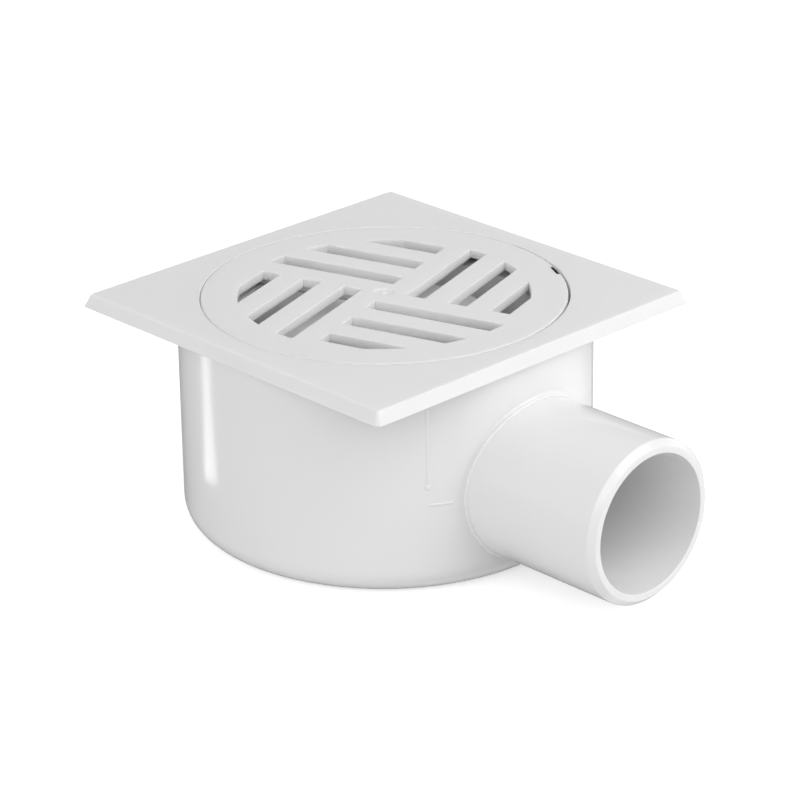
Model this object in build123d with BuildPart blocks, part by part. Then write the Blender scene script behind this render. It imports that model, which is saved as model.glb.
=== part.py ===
from build123d import *
import math
import os

# A shower drain in white plastic. It stands on the flat base of its sump. Z is up from that base along
# the axis of the cup, and X points along the outlet spigot. All sizes are millimetres.

# Sump body, the cup below the floor
body_diameter = 100.0
body_wall = 2.8
body_floor = 3.0
body_height = 53.6
base_round = 6.6
mouth_chamfer = 0.6

# Outlet spigot on the side of the cup
outlet_diameter = 40.0
outlet_wall = 3.15
outlet_lift = 4.2
outlet_reach = 86.3
outlet_lead = 1.5
outlet_root_round = 1.2
outlet_stop_gap = 0.3
outlet_draft = 1.0

# Square top plate of the grate frame
plate_overhang = 1.6
plate_bevel = 1.6
plate_thickness = 3.2
plate_lower_corner = 1.4
plate_upper_corner = 0.6

# Neck of the grate frame, cemented into the mouth of the cup
socket_depth = 8.0
socket_clearance = 0.2
neck_wall = 2.6
seat_width = 2.6
ledge_width = 3.6
ledge_thickness = 2.4
core_wall = 1.8
recess_edge_round = 0.25

# Grate
grate_clearance = 0.35
grate_rim_thickness = 3.0
grate_rim_width = 8.85
bar_thickness = 2.4
bar_width = 6.25
slot_width = 5.0
slot_setback = 0.6
smallest_slot = 3.0
weave_angle = 18.0
slot_edge_chamfer = 0.2
grate_edge_round = 0.4
arm_rib_width = 2.0
centring_wall = 1.5
centring_clearance = 0.4
hold_down_gap = 0.5
notch_width = 4.4
notch_depth = 0.9
notch_height = 1.6
gate_diameter = 4.8
gate_depth = 0.35
gate_nub_diameter = 1.2

# Seal ring under the rim of the trap cup
seal_thickness = 1.6
seal_clearance = 0.4
seal_edge_round = 0.3

# Trap cup with its standpipe
flange_thickness = 2.2
flange_clearance = 0.4
cup_clearance = 0.6
cup_wall = 1.8
cup_taper = 2.6
cup_round = 5.0
cup_floor_gap = 8.5
standpipe_wall = 1.8
weir_drop = 12.4

# Trap bell
bell_outer_gap = 5.7
bell_inner_gap = 9.9
bell_foot_gap = 6.0
bell_top_drop = 2.0
bell_wall = 1.6
bell_round = 3.0
fin_count = 4
fin_thickness = 1.6
fin_overlap = 1.4
fin_drop = 8.0
fin_clearance = 0.3

# Radii that fit one inside the other, from the cup inward
body_radius = body_diameter / 2
body_bore = body_radius - body_wall
outlet_radius = outlet_diameter / 2
outlet_bore = outlet_radius - outlet_wall
skirt_radius = body_bore - socket_clearance
recess_radius = skirt_radius - neck_wall
neck_radius = recess_radius - seat_width
ledge_radius = neck_radius - ledge_width
grate_radius = recess_radius - grate_clearance
pattern_radius = grate_radius - grate_rim_width
centring_radius = neck_radius - centring_clearance
flange_radius = neck_radius - flange_clearance
cup_radius = ledge_radius - cup_clearance
cup_foot_radius = cup_radius - cup_taper
bell_radius = cup_foot_radius - cup_wall - bell_outer_gap
bell_bore = bell_radius - bell_wall
standpipe_radius = bell_bore - bell_inner_gap
standpipe_bore = standpipe_radius - standpipe_wall

# Heights that stack one on the other. The water seal is what is left between the weir at the top of the
# standpipe and the rim of the bell.
outlet_height = outlet_lift + outlet_radius
top_height = body_height + plate_thickness
grate_seat = top_height - grate_rim_thickness
neck_bottom = body_height - socket_depth
cup_seat = neck_bottom + ledge_thickness
flange_bottom = cup_seat + seal_thickness
flange_top = flange_bottom + flange_thickness
standpipe_top = flange_top - weir_drop
cup_bottom = body_floor + cup_floor_gap
cup_floor = cup_bottom + cup_wall
bell_rim = cup_floor + bell_foot_gap
bell_top = flange_top - bell_top_drop
bell_ceiling = bell_top - bell_wall
bar_underside = top_height - bar_thickness
grate_lowest = flange_top + hold_down_gap

os.makedirs("parts", exist_ok=True)

# The cup, its rounded base and the spigot are one moulding. The round wall starts at the back, so that
# its seam stays clear of the spigot. The spigot is plain over the length that a pipe socket can cover,
# and from that stop inwards it widens by the draft of its mould, as far as it reaches into the wall of
# the cup. The root round stays below the mouth of the cup.
base_plane = Plane(origin=(0, 0, 0), x_dir=(-1, 0, 0), z_dir=(0, 0, 1))
outlet_plane = Plane(origin=(0, 0, outlet_height), x_dir=(0, 1, 0), z_dir=(1, 0, 0))
wall_over_outlet = body_height - outlet_height - outlet_radius
root_round = min(outlet_root_round, wall_over_outlet / 2)
outlet_start = math.sqrt(body_bore**2 - outlet_radius**2)
outlet_stop = body_radius + root_round + outlet_stop_gap
drafted_length = outlet_stop - outlet_start
outlet_start_radius = outlet_radius + drafted_length * math.tan(math.radians(outlet_draft))

with BuildPart() as sump_body:
    with BuildSketch(base_plane):
        Circle(body_radius)
    extrude(amount=body_height)
    fillet(sump_body.faces().sort_by(Axis.Z)[0].edges(), base_round)
    with BuildSketch(outlet_plane.offset(outlet_start)):
        Circle(outlet_start_radius)
    extrude(amount=drafted_length, taper=outlet_draft)
    fillet(sump_body.edges(Select.NEW), root_round)
    with BuildSketch(outlet_plane.offset(outlet_stop)):
        Circle(outlet_radius)
    extrude(amount=outlet_reach - outlet_stop)
    chamfer(sump_body.faces().sort_by(Axis.X)[-1].edges(), outlet_lead)
    with BuildSketch(Plane.XY.offset(body_floor)):
        Circle(body_bore)
    extrude(amount=body_height - body_floor, mode=Mode.SUBTRACT)
    mouth = sump_body.faces().sort_by(Axis.Z)[-1]
    chamfer(mouth.edges().sort_by(SortBy.LENGTH)[0], mouth_chamfer)
    inner_floor = sump_body.faces().filter_by(Plane.XY).sort_by(Axis.Z)[1]
    fillet(inner_floor.edges(), base_round - body_wall)
    with BuildSketch(outlet_plane):
        Circle(outlet_bore)
    extrude(amount=outlet_reach, mode=Mode.SUBTRACT)
sump_body.part.label = "sump_body"
export_step(sump_body.part, "parts/sump_body.step")

# The bevelled plate lies on the rim of the cup. Below it a double-walled neck goes down into the mouth:
# an outer skirt for the cement and an inner throat with a seat for the grate and a ledge for the trap.
plate_lower_side = body_diameter + 2 * plate_overhang
plate_upper_side = plate_lower_side - 2 * plate_bevel
core_outer = skirt_radius - core_wall
core_inner = neck_radius + core_wall
core_top = grate_seat - core_wall

with BuildPart() as grate_frame:
    with BuildSketch(Plane.XY.offset(body_height)):
        RectangleRounded(plate_lower_side, plate_lower_side, plate_lower_corner)
    with BuildSketch(Plane.XY.offset(top_height)):
        RectangleRounded(plate_upper_side, plate_upper_side, plate_upper_corner)
    loft(ruled=True)
    with BuildSketch(Plane.XY.offset(neck_bottom)):
        Circle(skirt_radius)
    extrude(amount=socket_depth)
    with BuildSketch(Plane.XY.offset(grate_seat)):
        Circle(recess_radius)
    extrude(amount=grate_rim_thickness, mode=Mode.SUBTRACT)
    with BuildSketch(Plane.XY.offset(cup_seat)):
        Circle(neck_radius)
    extrude(amount=top_height - cup_seat, mode=Mode.SUBTRACT)
    with BuildSketch(Plane.XY.offset(neck_bottom)):
        Circle(ledge_radius)
    extrude(amount=top_height - neck_bottom, mode=Mode.SUBTRACT)
    with BuildSketch(Plane.XY.offset(neck_bottom)):
        Circle(core_outer)
        Circle(core_inner, mode=Mode.SUBTRACT)
    extrude(amount=core_top - neck_bottom, mode=Mode.SUBTRACT)
    top_face = grate_frame.faces().sort_by(Axis.Z)[-1]
    fillet(top_face.edges().filter_by(GeomType.CIRCLE).sort_by(SortBy.RADIUS)[-1], recess_edge_round)
grate_frame.part.label = "grate_frame"
export_step(grate_frame.part, "parts/grate_frame.step")

# The grate is a flat disc that is thick at its rim. Four groups of parallel slots are woven round its
# middle, each turned a quarter from the last, and a rib runs under each of the four arms between them.
slot_pitch = bar_width + slot_width
first_slot = bar_width - slot_setback
slot_rows = 1 + math.floor((pattern_radius - first_slot - smallest_slot) / slot_pitch)
slot_length = pattern_radius - slot_setback
arm_middle = first_slot - bar_width / 2
arm_rib_start = arm_middle + arm_rib_width / 2
arm_rib_length = arm_rib_start + centring_radius - centring_wall / 2

with BuildPart() as grate:
    with BuildSketch(Plane.XY.offset(grate_seat)):
        Circle(grate_radius)
    extrude(amount=grate_rim_thickness)
    fillet(grate.faces().sort_by(Axis.Z)[-1].edges(), grate_edge_round)
    with BuildSketch(Plane.XY.offset(grate_seat)):
        Circle(centring_radius - centring_wall)
    extrude(amount=grate_rim_thickness - bar_thickness, mode=Mode.SUBTRACT)
    with BuildSketch(Plane.XY.offset(grate_lowest)):
        Circle(centring_radius)
        Circle(centring_radius - centring_wall, mode=Mode.SUBTRACT)
    extrude(amount=grate_seat - grate_lowest)
    with BuildSketch(Plane.XY.offset(grate_lowest)):
        with PolarLocations(0, 4, start_angle=weave_angle):
            with Locations((-arm_rib_start, -arm_middle)):
                Rectangle(arm_rib_length, arm_rib_width, align=(Align.MIN, Align.CENTER))
    extrude(amount=bar_underside - grate_lowest)
    with BuildSketch(Plane.XY.offset(bar_underside)):
        with PolarLocations(0, 4, start_angle=weave_angle):
            for row in range(slot_rows):
                row_middle = first_slot + row * slot_pitch + slot_width / 2
                with Locations((-slot_setback - slot_length / 2, row_middle)):
                    Rectangle(slot_length, slot_width)
        Circle(pattern_radius, mode=Mode.INTERSECT)
    extrude(amount=bar_thickness, mode=Mode.SUBTRACT)
    chamfer(grate.faces().sort_by(Axis.Z)[-1].inner_wires().edges(), slot_edge_chamfer)
    with BuildSketch(Plane.XY.offset(top_height)):
        Circle(gate_diameter / 2)
        Circle(gate_nub_diameter / 2, mode=Mode.SUBTRACT)
    extrude(amount=-gate_depth, mode=Mode.SUBTRACT)
    with BuildSketch(Plane.XY.offset(top_height)):
        with PolarLocations(grate_radius, 1, start_angle=weave_angle + 45):
            Rectangle(2 * notch_depth, notch_width)
    extrude(amount=-notch_height, mode=Mode.SUBTRACT)
grate.part.label = "grate"
export_step(grate.part, "parts/grate.step")

# A flat rubber ring seals the rim of the trap cup on its ledge.
with BuildPart() as seal_ring:
    with BuildSketch(Plane.XY.offset(cup_seat)):
        Circle(neck_radius - seal_clearance)
        Circle(ledge_radius + seal_clearance, mode=Mode.SUBTRACT)
    extrude(amount=seal_thickness)
    fillet(seal_ring.edges(), seal_edge_round)
seal_ring.part.label = "seal_ring"
export_step(seal_ring.part, "parts/seal_ring.step")

# The trap cup hangs by its flange. Its standpipe is the way out, and its top is the weir.
with BuildPart() as trap_cup:
    with BuildSketch(Plane.XZ):
        with BuildLine():
            Polyline(
                (standpipe_bore, cup_bottom),
                (cup_foot_radius, cup_bottom),
                (cup_radius, flange_bottom),
                (flange_radius, flange_bottom),
                (flange_radius, flange_top),
                (cup_radius - cup_wall, flange_top),
                (cup_foot_radius - cup_wall, cup_floor),
                (standpipe_radius, cup_floor),
                (standpipe_radius, standpipe_top),
                (standpipe_bore, standpipe_top),
                close=True,
            )
        make_face()
    revolve(axis=Axis.Z)
    corner_edges = trap_cup.edges().filter_by(GeomType.CIRCLE)
    fillet(corner_edges.group_by(Axis.Z)[0].sort_by(SortBy.RADIUS)[-1], cup_round)
    floor_edges = trap_cup.edges().filter_by(GeomType.CIRCLE)
    floor_edges = floor_edges.filter_by_position(Axis.Z, cup_floor, cup_floor)
    fillet(floor_edges.sort_by(SortBy.RADIUS)[-1], cup_round - cup_wall)
trap_cup.part.label = "trap_cup"
export_step(trap_cup.part, "parts/trap_cup.step")

# The bell stands on the standpipe by four fins, with its rim below the weir.
fin_root = (bell_radius + bell_bore) / 2
fin_top = (bell_top + bell_ceiling) / 2
fin_tip = standpipe_radius - fin_overlap
fin_bottom = standpipe_top - fin_drop

with BuildPart() as trap_bell:
    with BuildSketch(Plane.XY.offset(bell_rim)):
        Circle(bell_radius)
    extrude(amount=bell_top - bell_rim)
    fillet(trap_bell.faces().sort_by(Axis.Z)[-1].edges(), bell_round)
    offset(amount=-bell_wall, openings=trap_bell.faces().sort_by(Axis.Z)[0])
    for fin in range(fin_count):
        with BuildSketch(Plane.XZ.rotated((0, 0, 45 + 360 * fin / fin_count))):
            with BuildLine():
                Polyline(
                    (fin_root, fin_bottom),
                    (standpipe_radius + fin_clearance, fin_bottom),
                    (standpipe_radius + fin_clearance, standpipe_top),
                    (fin_tip, standpipe_top),
                    (fin_tip, fin_top),
                    (fin_root, fin_top),
                    close=True,
                )
            make_face()
            fin_shoulder = vertices().group_by(Axis.X)[-1].sort_by(Axis.Y)[-1]
            fillet(fin_shoulder, bell_round - bell_wall / 2)
        extrude(amount=fin_thickness / 2, both=True)
trap_bell.part.label = "trap_bell"
export_step(trap_bell.part, "parts/trap_bell.step")
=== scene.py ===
import math

import bpy
import bmesh
from mathutils import Matrix, Vector


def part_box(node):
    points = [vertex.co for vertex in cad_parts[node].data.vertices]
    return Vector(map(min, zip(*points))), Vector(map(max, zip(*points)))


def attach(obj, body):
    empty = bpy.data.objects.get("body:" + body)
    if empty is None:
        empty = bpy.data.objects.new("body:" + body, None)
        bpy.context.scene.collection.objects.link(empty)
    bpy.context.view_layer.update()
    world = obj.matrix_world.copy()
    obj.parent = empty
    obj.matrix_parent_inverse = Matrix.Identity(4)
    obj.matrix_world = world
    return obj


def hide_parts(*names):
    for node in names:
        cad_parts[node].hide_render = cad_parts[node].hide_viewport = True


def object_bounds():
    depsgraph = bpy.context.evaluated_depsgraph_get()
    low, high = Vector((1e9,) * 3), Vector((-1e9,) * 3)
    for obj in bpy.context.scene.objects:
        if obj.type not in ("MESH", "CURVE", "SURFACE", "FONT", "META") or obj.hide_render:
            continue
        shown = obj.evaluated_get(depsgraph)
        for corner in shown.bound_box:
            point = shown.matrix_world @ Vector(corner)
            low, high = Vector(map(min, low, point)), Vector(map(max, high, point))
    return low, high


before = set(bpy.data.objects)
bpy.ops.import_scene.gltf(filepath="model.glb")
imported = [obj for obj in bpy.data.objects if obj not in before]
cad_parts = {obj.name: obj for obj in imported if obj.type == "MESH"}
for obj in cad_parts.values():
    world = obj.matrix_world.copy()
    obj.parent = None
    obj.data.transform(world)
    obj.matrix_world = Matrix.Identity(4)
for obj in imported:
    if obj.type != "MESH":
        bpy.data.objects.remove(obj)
cad_low, cad_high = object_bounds()

# The sump body is one glossy white injection moulding: a round cup with a closed, rounded base and
# a horizontal outlet spigot. It keeps the form of its solid, with small rounds on its edges and the
# raised witness lines where the side core for the spigot met the cavity.
MILLIMETRE = 0.001
BODY_EDGE_ROUND = 0.22 * MILLIMETRE
CUP_RADIUS = 50.0 * MILLIMETRE
SPIGOT_RADIUS = 20.45 * MILLIMETRE
SPIGOT_HEIGHT = 24.2 * MILLIMETRE
ROOT_ROUND = 1.2 * MILLIMETRE
ROOT_LINE_STEPS = 96
ROOT_LINE_SINK = 0.9
WITNESS_ANGLE = math.radians(33.0)
WITNESS_HEIGHT = 23.4 * MILLIMETRE
WITNESS_STOP = 28.0 * MILLIMETRE
WITNESS_FROM_TOP = 3.4 * MILLIMETRE
WITNESS_WIDTH = 0.70 * MILLIMETRE
WITNESS_RISE = 0.15 * MILLIMETRE
WITNESS_STEPS = 12
PIP_RADIUS = 0.75 * MILLIMETRE
PIP_FLATNESS = 0.4
BEAD_STEPS = 32
BEAD_ROUND = (WITNESS_WIDTH ** 2 / 4 + WITNESS_RISE ** 2) / (2 * WITNESS_RISE)
BEAD_SINK = BEAD_ROUND - WITNESS_RISE


class Wire:
    """The output of a node. Sums of wires add Math nodes, and node() adds any other node."""

    def __init__(self, tree, socket=None):
        self.tree = tree
        self.socket = socket

    def node(self, kind, inputs=None, settings=None, output=0):
        made = self.tree.nodes.new(kind)
        for name, value in (settings or {}).items():
            setattr(made, name, value)
        for name, value in (inputs or {}).items():
            for one in value if isinstance(value, list) else [value]:
                if isinstance(one, Wire):
                    self.tree.links.new(one.socket, made.inputs[name])
                else:
                    made.inputs[name].default_value = one
        return Wire(self.tree, made.outputs[output] if made.outputs else None)

    def sum(self, operation, first, second=0.0):
        return self.node("ShaderNodeMath", {0: first, 1: second}, {"operation": operation})

    def vector(self, x=0.0, y=0.0, z=0.0):
        return self.node("ShaderNodeCombineXYZ", {"X": x, "Y": y, "Z": z})

    def spun(self, angle):
        """This vector, turned about Z."""
        return self.node(
            "ShaderNodeVectorRotate",
            {"Vector": self, "Angle": angle},
            {"rotation_type": "Z_AXIS"},
        )

    def __add__(self, other):
        return self.sum("ADD", self, other)

    def __radd__(self, other):
        return self.sum("ADD", other, self)

    def __sub__(self, other):
        return self.sum("SUBTRACT", self, other)

    def __rsub__(self, other):
        return self.sum("SUBTRACT", other, self)

    def __mul__(self, other):
        return self.sum("MULTIPLY", self, other)

    def __rmul__(self, other):
        return self.sum("MULTIPLY", other, self)

    def __truediv__(self, other):
        return self.sum("DIVIDE", self, other)


def moulded_plastic(
    name, white, flow_white, roughness, wave, wave_depth, grain, grain_depth, depth=0.0
):
    """Moulded plastic: two close tones where it flowed, a faint wave, the grain of its mould, and
    the depth that light travels in it."""
    material = bpy.data.materials.new(name)
    material.use_nodes = True
    tree = material.node_tree
    shader = tree.nodes["Principled BSDF"]
    flow_to_wave = 0.4
    spread = 0.04
    start = Wire(tree)
    place = start.node("ShaderNodeTexCoord", output="Object")
    flow = start.node(
        "ShaderNodeTexNoise", {"Vector": place, "Scale": flow_to_wave / wave, "Detail": 3.0}
    )
    grit = start.node("ShaderNodeTexNoise", {"Vector": place, "Scale": 1 / grain, "Detail": 2.0})
    swell = start.node("ShaderNodeTexNoise", {"Vector": place, "Scale": 1 / wave, "Detail": 0.0})
    colour = start.node(
        "ShaderNodeMix",
        {
            "Factor": flow,
            6: (white, white, white, 1.0),
            7: (flow_white, flow_white, flow_white, 1.0),
        },
        {"data_type": "RGBA"},
        output=2,
    )
    uneven = roughness - spread + 2 * spread * flow
    wave_bump = start.node(
        "ShaderNodeBump", {"Height": swell, "Distance": wave_depth, "Strength": 1.0}
    )
    grain_bump = start.node(
        "ShaderNodeBump",
        {"Height": grit, "Distance": grain_depth, "Strength": 1.0, "Normal": wave_bump},
    )
    tree.links.new(colour.socket, shader.inputs["Base Color"])
    tree.links.new(uneven.socket, shader.inputs["Roughness"])
    tree.links.new(grain_bump.socket, shader.inputs["Normal"])
    if depth:
        shader.inputs["Subsurface Weight"].default_value = 1.0
        shader.inputs["Subsurface Radius"].default_value = (1.0, 1.0, 1.0)
        shader.inputs["Subsurface Scale"].default_value = depth
    return material


def dress(piece, material):
    piece.data.materials.clear()
    piece.data.materials.append(material)


def placed(name, mesh, material):
    """A new object in its finish."""
    piece = bpy.data.objects.new(name, mesh)
    bpy.context.scene.collection.objects.link(piece)
    dress(piece, material)
    return piece


def worked_out(piece):
    """The plain mesh that a piece has after its modifiers."""
    bpy.context.view_layer.update()
    graph = bpy.context.evaluated_depsgraph_get()
    return bpy.data.meshes.new_from_object(piece.evaluated_get(graph))


def settled(piece):
    """The piece with its modifiers worked into its mesh."""
    finished = worked_out(piece)
    piece.modifiers.clear()
    piece.data = finished
    return piece


def cleaned(form, name, merge=0.002 * MILLIMETRE, flat=math.radians(0.05)):
    """A fresh, smooth mesh from a form: doubles merged and flat areas joined into whole faces."""
    bmesh.ops.remove_doubles(form, verts=form.verts, dist=merge)
    bmesh.ops.dissolve_limit(form, angle_limit=flat, verts=form.verts, edges=form.edges)
    form.verts.index_update()
    points = [tuple(point.co) for point in form.verts]
    faces = [[point.index for point in face.verts] for face in form.faces]
    form.free()
    mesh = bpy.data.meshes.new(name)
    mesh.from_pydata(points, [], faces)
    for face in mesh.polygons:
        face.use_smooth = True
    return mesh


def evened(piece, weight=50):
    """Smooth shading that leaves the flat faces flat."""
    even = piece.modifiers.new("even_normals", "WEIGHTED_NORMAL")
    even.mode = "FACE_AREA"
    even.weight = weight
    even.keep_sharp = False
    return settled(piece)


def edged(piece, width, segments=2, sharp=math.radians(32)):
    """Rounds every sharp edge of a piece by the small radius that a mould leaves."""
    bevel = piece.modifiers.new("mould_round", "BEVEL")
    bevel.width = width
    bevel.segments = segments
    bevel.limit_method = "ANGLE"
    bevel.angle_limit = sharp
    bevel.use_clamp_overlap = False
    bevel.loop_slide = False
    return settled(piece)


def solid_copy(node, name):
    form = bmesh.new()
    form.from_mesh(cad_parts[node].data)
    return cleaned(form, name)


def swept_line(name, points, cyclic, material):
    """A low bead that follows a path. The path is the middle of its round, sunk in the wall."""
    path = bpy.data.curves.new(name, "CURVE")
    path.dimensions = "3D"
    spline = path.splines.new("POLY")
    spline.points.add(len(points) - 1)
    for stop, point in zip(spline.points, points):
        stop.co = (*point, 1.0)
    spline.use_cyclic_u = cyclic
    line = bpy.data.objects.new(name, path)
    bpy.context.scene.collection.objects.link(line)
    tree = bpy.data.node_groups.new(name, "GeometryNodeTree")
    tree.interface.new_socket("Path", in_out="INPUT", socket_type="NodeSocketGeometry")
    size_input = tree.interface.new_socket(
        "Bead round", in_out="INPUT", socket_type="NodeSocketFloat"
    )
    tree.interface.new_socket("Line", in_out="OUTPUT", socket_type="NodeSocketGeometry")
    start = Wire(tree)
    given = start.node("NodeGroupInput", output="Path")
    bead_round = start.node("NodeGroupInput", output="Bead round")
    profile = start.node(
        "GeometryNodeCurvePrimitiveCircle", {"Resolution": BEAD_STEPS, "Radius": bead_round}
    )
    bead = start.node(
        "GeometryNodeCurveToMesh",
        {"Curve": given, "Profile Curve": profile, "Fill Caps": True},
    )
    whole = start.node("GeometryNodeRealizeInstances", {"Geometry": bead})
    coated = start.node("GeometryNodeSetMaterial", {"Geometry": whole, "Material": material})
    start.node("NodeGroupOutput", {"Line": coated})
    sweep = line.modifiers.new("sweep", "NODES")
    sweep.node_group = tree
    sweep[size_input.identifier] = BEAD_ROUND
    mesh = worked_out(line)
    bpy.data.objects.remove(line)
    return mesh


body_plastic = moulded_plastic(
    "body_plastic",
    white=0.91,
    flow_white=0.90,
    roughness=0.17,
    wave=11 * MILLIMETRE,
    wave_depth=0.02 * MILLIMETRE,
    grain=0.6 * MILLIMETRE,
    grain_depth=0.004 * MILLIMETRE,
)
sump = placed("drain_body", solid_copy("sump_body", "drain_body"), body_plastic)
edged(sump, BODY_EDGE_ROUND)

# On each side of the spigot one witness line runs down the cup to a pip, and a short one lies
# across, toward the spigot.
line_radius = CUP_RADIUS - BEAD_SINK
line_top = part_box("grate_frame")[1].z - WITNESS_FROM_TOP
root_radius = CUP_RADIUS + ROOT_ROUND
root_angle = math.asin((SPIGOT_RADIUS + ROOT_ROUND) / CUP_RADIUS)
witness_meshes = []
for side in (-1, 1):
    across = []
    for step in range(WITNESS_STEPS + 1):
        angle = WITNESS_ANGLE + (root_angle - WITNESS_ANGLE) * step / WITNESS_STEPS
        across.append(Vector((
            line_radius * math.cos(side * angle),
            line_radius * math.sin(side * angle),
            WITNESS_HEIGHT,
        )))
    down = [Vector((across[0].x, across[0].y, height)) for height in (line_top, WITNESS_STOP)]
    for end in (across[0], across[-1]):
        end.xy *= 1 - 2 * WITNESS_RISE / line_radius
    witness_meshes.append(swept_line("witness_down", down, False, body_plastic))
    witness_meshes.append(swept_line("witness_across", across, False, body_plastic))
    pip_form = bmesh.new()
    bmesh.ops.create_uvsphere(pip_form, u_segments=16, v_segments=8, radius=PIP_RADIUS)
    bmesh.ops.scale(pip_form, vec=(PIP_FLATNESS, 1.0, 1.0), verts=pip_form.verts)
    bmesh.ops.rotate(
        pip_form,
        cent=(0, 0, 0),
        matrix=Matrix.Rotation(side * WITNESS_ANGLE, 3, "Z"),
        verts=pip_form.verts,
    )
    pip_place = down[-1].copy()
    pip_place.xy *= CUP_RADIUS / line_radius
    bmesh.ops.translate(pip_form, vec=pip_place, verts=pip_form.verts)
    pip_mesh = bpy.data.meshes.new("witness_pip")
    pip_form.to_mesh(pip_mesh)
    pip_form.free()
    witness_meshes.append(pip_mesh)

# One more line goes round the root of the spigot.
sunk_radius = SPIGOT_RADIUS - BEAD_SINK * ROOT_LINE_SINK
around = []
for step in range(ROOT_LINE_STEPS):
    turn = 2 * math.pi * step / ROOT_LINE_STEPS
    aside = sunk_radius * math.sin(turn)
    around.append(Vector((
        math.sqrt(root_radius ** 2 - aside ** 2),
        aside,
        SPIGOT_HEIGHT + sunk_radius * math.cos(turn),
    )))
witness_meshes.append(swept_line("root_line", around, True, body_plastic))

whole_body = bmesh.new()
whole_body.from_mesh(sump.data)
for part_mesh in witness_meshes:
    whole_body.from_mesh(part_mesh)
for face in whole_body.faces:
    face.smooth = True
    face.material_index = 0
whole_body.to_mesh(sump.data)
whole_body.free()
evened(sump)
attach(sump, "root")
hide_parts("sump_body")

# The frame of the grate is a second moulding: a square plate with bevelled sides and a round
# recess, and under it the neck that is cemented into the mouth of the cup. Its mould has a fine
# spark-eroded grain.
PLATE_EDGE_ROUND = 0.25 * MILLIMETRE
PLATE_EDGE_STEPS = 3

plate_plastic = moulded_plastic(
    "plate_plastic",
    white=0.86,
    flow_white=0.85,
    roughness=0.5,
    wave=20 * MILLIMETRE,
    wave_depth=0.01 * MILLIMETRE,
    grain=0.45 * MILLIMETRE,
    grain_depth=0.045 * MILLIMETRE,
    depth=1.5 * MILLIMETRE,
)
plate = placed("top_plate", solid_copy("grate_frame", "top_plate"), plate_plastic)
evened(edged(plate, PLATE_EDGE_ROUND, PLATE_EDGE_STEPS))
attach(plate, "root")
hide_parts("grate_frame")

# The grate is a third moulding with the same grain, a disc that lies loose in the recess. Four
# groups of parallel slots are woven round its middle, where its moulding gate left a mark.
GRATE_RADIUS = 44.05 * MILLIMETRE
GRATE_TOP = 56.8 * MILLIMETRE
GRATE_SEAT = 53.8 * MILLIMETRE
GRATE_LOWEST = 52.3 * MILLIMETRE
BAR_UNDERSIDE = 54.4 * MILLIMETRE
RIM_ROUND = 0.4 * MILLIMETRE
RING_OUTSIDE = 41.4 * MILLIMETRE
RING_INSIDE = 39.9 * MILLIMETRE
GATE_RADIUS = 2.4 * MILLIMETRE
GATE_DEPTH = 0.35 * MILLIMETRE
GATE_NUB = 0.6 * MILLIMETRE
GRATE_EDGE_ROUND = 0.16 * MILLIMETRE
GRATE_SLIDE = Vector((-0.20, -0.07, 0.0)) * MILLIMETRE
TURN_STEPS = 180
CUT_BELOW = 0.05 * MILLIMETRE
CUT_ABOVE = 0.5 * MILLIMETRE
RIB_SINK = 0.6 * MILLIMETRE


def turned(profile, steps):
    """A solid of revolution about Z. The profile goes from its middle on top to that underneath."""
    form = bmesh.new()
    rings = []
    for radius, height in profile:
        rings.append([
            form.verts.new((
                radius * math.cos(2 * math.pi * step / steps),
                radius * math.sin(2 * math.pi * step / steps),
                height,
            ))
            for step in range(steps)
        ])
    for upper, lower in zip(rings, rings[1:]):
        for step in range(steps):
            after = (step + 1) % steps
            form.faces.new((upper[step], lower[step], lower[after], upper[after]))
    form.faces.new(rings[0])
    form.faces.new(reversed(rings[-1]))
    bmesh.ops.recalc_face_normals(form, faces=form.faces)
    return form


rim = [
    (
        GRATE_RADIUS - RIM_ROUND + RIM_ROUND * math.sin(math.radians(angle)),
        GRATE_TOP - RIM_ROUND + RIM_ROUND * math.cos(math.radians(angle)),
    )
    for angle in range(0, 91, 15)
]
blank = turned(
    [
        (GATE_NUB, GRATE_TOP),
        (GATE_NUB, GRATE_TOP - GATE_DEPTH),
        (GATE_RADIUS, GRATE_TOP - GATE_DEPTH),
        (GATE_RADIUS, GRATE_TOP),
        *rim,
        (GRATE_RADIUS, GRATE_SEAT),
        (RING_OUTSIDE, GRATE_SEAT),
        (RING_OUTSIDE, GRATE_LOWEST),
        (RING_INSIDE, GRATE_LOWEST),
        (RING_INSIDE, BAR_UNDERSIDE),
    ],
    TURN_STEPS,
)
blank_mesh = bpy.data.meshes.new("woven_grate")
blank.to_mesh(blank_mesh)
blank.free()
grille = placed("woven_grate", blank_mesh, plate_plastic)

WEAVE = {
    "Groups": 4,
    "Slots in a group": 3,
    "Slot width": 5.0 * MILLIMETRE,
    "Bar width": 6.25 * MILLIMETRE,
    "Slot setback": 0.6 * MILLIMETRE,
    "Pattern radius": 35.2 * MILLIMETRE,
    "Weave angle": math.radians(18.0),
    "Cut bottom": BAR_UNDERSIDE - CUT_BELOW,
    "Cut top": GRATE_TOP + CUT_ABOVE,
    "Rib width": 2.0 * MILLIMETRE,
    "Rib reach": 40.65 * MILLIMETRE,
    "Rib bottom": GRATE_LOWEST,
    "Notch angle": math.radians(63.0),
    "Notch width": 4.4 * MILLIMETRE,
    "Notch depth": 0.9 * MILLIMETRE,
    "Notch height": 1.6 * MILLIMETRE,
    "Rim radius": GRATE_RADIUS,
}
weave_tree = bpy.data.node_groups.new("woven_slots", "GeometryNodeTree")
weave_tree.interface.new_socket("Blank", in_out="INPUT", socket_type="NodeSocketGeometry")
for input_name, input_value in WEAVE.items():
    weave_tree.interface.new_socket(
        input_name,
        in_out="INPUT",
        socket_type="NodeSocketInt" if isinstance(input_value, int) else "NodeSocketFloat",
    )
weave_tree.interface.new_socket("Grate", in_out="OUTPUT", socket_type="NodeSocketGeometry")
woven = Wire(weave_tree)
size = {name: woven.node("NodeGroupInput", output=name) for name in WEAVE}
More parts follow.
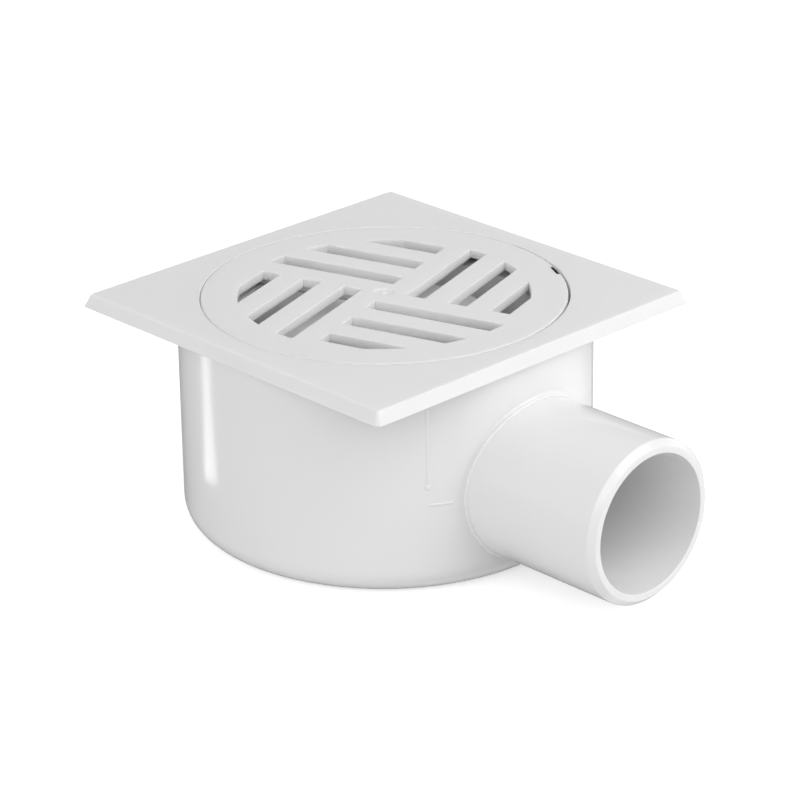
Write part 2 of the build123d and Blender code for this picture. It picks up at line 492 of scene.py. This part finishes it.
count = woven.node("GeometryNodeInputIndex")

# Slot boxes stand in rows, group by group. The circle of the pattern trims them.
group = woven.sum("FLOOR", (count + 0.5) / size["Slots in a group"])
row = count - group * size["Slots in a group"]
turn_of_group = size["Weave angle"] + group * (math.pi / 2)
slot_length = size["Pattern radius"] - size["Slot setback"]
slot_along = -1 * (size["Slot setback"] + slot_length / 2)
slot_across = (
    size["Bar width"] - size["Slot setback"] + size["Slot width"] / 2
    + row * (size["Bar width"] + size["Slot width"])
)
cut_height = size["Cut top"] - size["Cut bottom"]
cut_middle = size["Cut bottom"] + cut_height / 2
slot_points = woven.node(
    "GeometryNodePoints",
    {
        "Count": size["Groups"] * size["Slots in a group"],
        "Position": woven.vector(slot_along, slot_across, cut_middle).spun(turn_of_group),
    },
)
slot_box = woven.node(
    "GeometryNodeMeshCube", {"Size": woven.vector(slot_length, size["Slot width"], cut_height)}
)
slots = woven.node(
    "GeometryNodeInstanceOnPoints",
    {"Points": slot_points, "Instance": slot_box, "Rotation": woven.vector(z=turn_of_group)},
)
slots = woven.node("GeometryNodeRealizeInstances", {"Geometry": slots})
drum = woven.node(
    "GeometryNodeMeshCylinder",
    {"Vertices": TURN_STEPS, "Radius": size["Pattern radius"], "Depth": cut_height},
)
drum = woven.node(
    "GeometryNodeTransform", {"Geometry": drum, "Translation": woven.vector(z=cut_middle)}
)
cutters = woven.node(
    "GeometryNodeMeshBoolean",
    {"Mesh 2": [slots, drum]},
    {"operation": "INTERSECT", "solver": "EXACT"},
)

# A rib runs under each of the four arms between the groups.
rib_height = size["Cut bottom"] + RIB_SINK - size["Rib bottom"]
arm_middle = size["Bar width"] / 2 - size["Slot setback"]
rib_length = size["Rib reach"] + arm_middle + size["Rib width"] / 2
rib_turn = size["Weave angle"] + count * (math.pi / 2)
rib_place = woven.vector(
    size["Rib reach"] - rib_length / 2, -1 * arm_middle, size["Rib bottom"] + rib_height / 2
)
rib_points = woven.node(
    "GeometryNodePoints", {"Count": size["Groups"], "Position": rib_place.spun(rib_turn)}
)
rib_box = woven.node(
    "GeometryNodeMeshCube", {"Size": woven.vector(rib_length, size["Rib width"], rib_height)}
)
ribs = woven.node(
    "GeometryNodeInstanceOnPoints",
    {"Points": rib_points, "Instance": rib_box, "Rotation": woven.vector(z=rib_turn)},
)
ribs = woven.node("GeometryNodeRealizeInstances", {"Geometry": ribs})
ribbed = woven.node(
    "GeometryNodeMeshBoolean",
    {"Mesh 2": [woven.node("NodeGroupInput", output="Blank"), ribs], "Self Intersection": True},
    {"operation": "UNION", "solver": "EXACT"},
)

# The notch in the rim is for the tool that lifts the grate.
notch_box = woven.node(
    "GeometryNodeMeshCube",
    {"Size": woven.vector(
        2 * size["Notch depth"], size["Notch width"], 2 * size["Notch height"]
    )},
)
notch_place = woven.vector(x=size["Rim radius"], z=size["Cut top"] - CUT_ABOVE)
notch = woven.node(
    "GeometryNodeTransform",
    {
        "Geometry": notch_box,
        "Translation": notch_place.spun(size["Notch angle"]),
        "Rotation": woven.vector(z=size["Notch angle"]),
    },
)
open_grate = woven.node(
    "GeometryNodeMeshBoolean",
    {"Mesh 1": ribbed, "Mesh 2": [cutters, notch]},
    {"operation": "DIFFERENCE", "solver": "EXACT"},
)
open_grate = woven.node("GeometryNodeRealizeInstances", {"Geometry": open_grate})
open_grate = woven.node(
    "GeometryNodeSetMaterial", {"Geometry": open_grate, "Material": plate_plastic}
)
woven.node("NodeGroupOutput", {"Grate": open_grate})
weave = grille.modifiers.new("weave", "NODES")
weave.node_group = weave_tree
for item in weave_tree.interface.items_tree:
    if item.in_out == "INPUT" and item.name in WEAVE:
        weave[item.identifier] = WEAVE[item.name]
settled(grille)
open_form = bmesh.new()
open_form.from_mesh(grille.data)
grille.data = cleaned(open_form, "woven_grate")
dress(grille, plate_plastic)
evened(edged(grille, GRATE_EDGE_ROUND))
grille.data.transform(Matrix.Translation(GRATE_SLIDE))
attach(grille, "root")
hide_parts("grate")

# The trap cup and the bell over its standpipe are plain glossy mouldings. The cup hangs by its
# flange in the neck of the frame, and both lift out when the grate is off.
trap_plastic = moulded_plastic(
    "trap_plastic",
    white=0.90,
    flow_white=0.88,
    roughness=0.3,
    wave=9 * MILLIMETRE,
    wave_depth=0.02 * MILLIMETRE,
    grain=0.5 * MILLIMETRE,
    grain_depth=0.004 * MILLIMETRE,
    depth=1.5 * MILLIMETRE,
)
dress(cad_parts["trap_cup"], trap_plastic)
dress(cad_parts["trap_bell"], trap_plastic)

# The seal ring is a flat ring of soft black rubber. It lies loose between the flange of the trap
# cup and its ledge in the neck.
seal_rubber = moulded_plastic(
    "seal_rubber",
    white=0.03,
    flow_white=0.04,
    roughness=0.6,
    wave=10 * MILLIMETRE,
    wave_depth=0.01 * MILLIMETRE,
    grain=0.3 * MILLIMETRE,
    grain_depth=0.01 * MILLIMETRE,
)
dress(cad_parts["seal_ring"], seal_rubber)

# The floor is a plain white studio sweep. It glows a little for the camera alone, up to the white
# of the background. Mirror rays pass it and meet the room below instead.
FLOOR_SIZE = 8.0
FLOOR_WHITE = (0.85, 0.85, 0.85, 1.0)
FLOOR_GLOW = 0.56
floor_mesh = bpy.data.meshes.new("studio_floor")
floor_form = bmesh.new()
bmesh.ops.create_grid(floor_form, x_segments=1, y_segments=1, size=FLOOR_SIZE / 2)
floor_form.to_mesh(floor_mesh)
floor_form.free()
floor_white = bpy.data.materials.new("studio_floor")
floor_white.use_nodes = True
floor_white.node_tree.nodes.clear()
on_floor = Wire(floor_white.node_tree)
seen = on_floor.node("ShaderNodeLightPath", output="Is Camera Ray")
matt = on_floor.node("ShaderNodeBsdfDiffuse", {"Color": FLOOR_WHITE})
glow = on_floor.node("ShaderNodeEmission", {"Strength": seen * FLOOR_GLOW})
both = on_floor.node("ShaderNodeAddShader", {0: matt, 1: glow})
on_floor.node("ShaderNodeOutputMaterial", {"Surface": both})
floor = placed("studio_floor", floor_mesh, floor_white)
floor.visible_glossy = False

# The studio is a pale room, brightest behind the camera. Its levels are given for six sides, as
# azimuths in degrees, in bands from low to high. Below the horizon is the table as gloss mirrors
# it, dark behind the object.
SIDES = (-44, 16, 76, 136, 196, 256)
SIDE_STEP = math.radians(60)
LOW_LEVELS = (0.0, 0.0, 2.2, 0.0, 1.65, 0.85)
MIDDLE_LEVELS = (3.0, 0.5, 0.0, 0.55, 0.0, 1.5)
TOP_LEVEL = 0.72
TABLE_LEVELS = (0.3, 0.0, 1.8, 0.15, 0.6, 0.95)
TABLE_TO_LOW = (-0.01, 0.01)
LOW_TO_MIDDLE = (0.18, 0.5)
MIDDLE_TO_TOP = (0.5, 0.82)
world = bpy.data.worlds.new("studio")
bpy.context.scene.world = world
world.use_nodes = True
world.cycles.sampling_method = "NONE"
world.node_tree.nodes.clear()
in_room = Wire(world.node_tree)
toward = in_room.node("ShaderNodeTexCoord", output="Generated")
toward_x, toward_y, toward_z = (
    in_room.node("ShaderNodeSeparateXYZ", {0: toward}, output=part) for part in "XYZ"
)
azimuth = in_room.sum("ARCTAN2", toward_y, toward_x)


def step_up(start, end):
    """How far the direction has risen from one height to the next, from 0 to 1."""
    return in_room.node(
        "ShaderNodeMapRange", {"Value": toward_z, "From Min": start, "From Max": end}
    )


def room_round(levels):
    """The light of one band, blended evenly from each side of the room to the next."""
    total = 0
    for side, brightness in zip(SIDES, levels):
        away = in_room.sum("ARCCOSINE", in_room.sum("COSINE", azimuth - math.radians(side)))
        total = total + brightness * in_room.sum("MAXIMUM", 1 - away / SIDE_STEP, 0.0)
    return total


above = step_up(*TABLE_TO_LOW)
above_low = step_up(*LOW_TO_MIDDLE)
above_middle = step_up(*MIDDLE_TO_TOP)
sky = (
    room_round(LOW_LEVELS) * (1 - above_low)
    + room_round(MIDDLE_LEVELS) * (above_low - above_middle)
    + TOP_LEVEL * above_middle
)
room_light = sky * above + room_round(TABLE_LEVELS) * (1 - above)
room_seen = in_room.node("ShaderNodeLightPath", output="Is Camera Ray")
strength = room_light * (1 - room_seen) + room_seen
room = in_room.node("ShaderNodeBackground", {"Strength": strength})
in_room.node("ShaderNodeOutputWorld", {"Surface": room})

# A square soft panel looks down at the drain from the side of the spigot.
KEY_AZIMUTH = math.radians(22)
KEY_ELEVATION = math.radians(41)
KEY_DISTANCE = 1.0
KEY_SIDE = 0.9
KEY_POWER = 4.6
KEY_AIM = Vector((0.0, 0.0, 0.03))
key_light = bpy.data.lights.new("key_panel", "AREA")
key_light.shape = "SQUARE"
key_light.size = KEY_SIDE
key_light.energy = KEY_POWER
key_panel = bpy.data.objects.new("key_panel", key_light)
bpy.context.scene.collection.objects.link(key_panel)
outward = Vector((
    math.cos(KEY_AZIMUTH) * math.cos(KEY_ELEVATION),
    math.sin(KEY_AZIMUTH) * math.cos(KEY_ELEVATION),
    math.sin(KEY_ELEVATION),
))
key_panel.matrix_world = Matrix.Translation(KEY_AIM + KEY_DISTANCE * outward) @ (
    outward.to_track_quat("Z", "Y").to_matrix().to_4x4()
)

# A narrow light strip lies on the table at the left. Only gloss shows it, as the upright gleam on
# the cup.
STRIP_GLOW = 3.4
STRIP_HEIGHT = 0.2
STRIP_CORNERS = ((-54.3, -57.6), (-44.8, -68.8), (-133.2, -103.4), (-141.5, -85.1))
strip_points = [Vector((x, y, STRIP_HEIGHT)) * MILLIMETRE for x, y in STRIP_CORNERS]
strip_mesh = bpy.data.meshes.new("light_strip")
strip_mesh.from_pydata(strip_points, [], [(0, 1, 2, 3)])
strip_light = bpy.data.materials.new("light_strip")
strip_light.use_nodes = True
strip_light.cycles.emission_sampling = "NONE"
strip_light.node_tree.nodes.clear()
on_strip = Wire(strip_light.node_tree)
gleam = on_strip.node("ShaderNodeEmission", {"Strength": STRIP_GLOW})
on_strip.node("ShaderNodeOutputMaterial", {"Surface": gleam})
strip = placed("light_strip", strip_mesh, strip_light)
for rays in ("camera", "diffuse", "transmission", "volume_scatter", "shadow"):
    setattr(strip, "visible_" + rays, False)

# The camera stands where the photograph was taken from: in front of the corner between the plain
# side and the side of the spigot, looking down on the plate. The frame is square.
AZIMUTH = math.radians(46.25)
ELEVATION = math.radians(23.59)
ROLL = math.radians(-0.820)
DISTANCE = 0.7975
AIM_RIGHT = -0.00358
AIM_DOWN = -0.02585
FOCAL_LENGTH = 149.85
SENSOR = 36.0
FARTHEST = 50.0

back = Vector((
    math.sin(AZIMUTH) * math.cos(ELEVATION),
    -math.cos(AZIMUTH) * math.cos(ELEVATION),
    math.sin(ELEVATION),
))
level_right = Vector((math.cos(AZIMUTH), math.sin(AZIMUTH), 0.0))
level_up = back.cross(level_right)
right = math.cos(ROLL) * level_right + math.sin(ROLL) * level_up
up = -math.sin(ROLL) * level_right + math.cos(ROLL) * level_up
plate_centre = Vector((0.0, 0.0, cad_high.z))
eye = plate_centre - AIM_RIGHT * right + AIM_DOWN * up + DISTANCE * back
camera_data = bpy.data.cameras.new("camera")
camera_data.lens = FOCAL_LENGTH
camera_data.sensor_width = SENSOR
camera_data.clip_end = FARTHEST
camera = bpy.data.objects.new("camera", camera_data)
bpy.context.scene.collection.objects.link(camera)
camera.matrix_world = Matrix.Translation(eye) @ Matrix((right, up, back)).transposed().to_4x4()
bpy.context.scene.camera = camera
bpy.context.scene.view_settings.view_transform = "Standard"
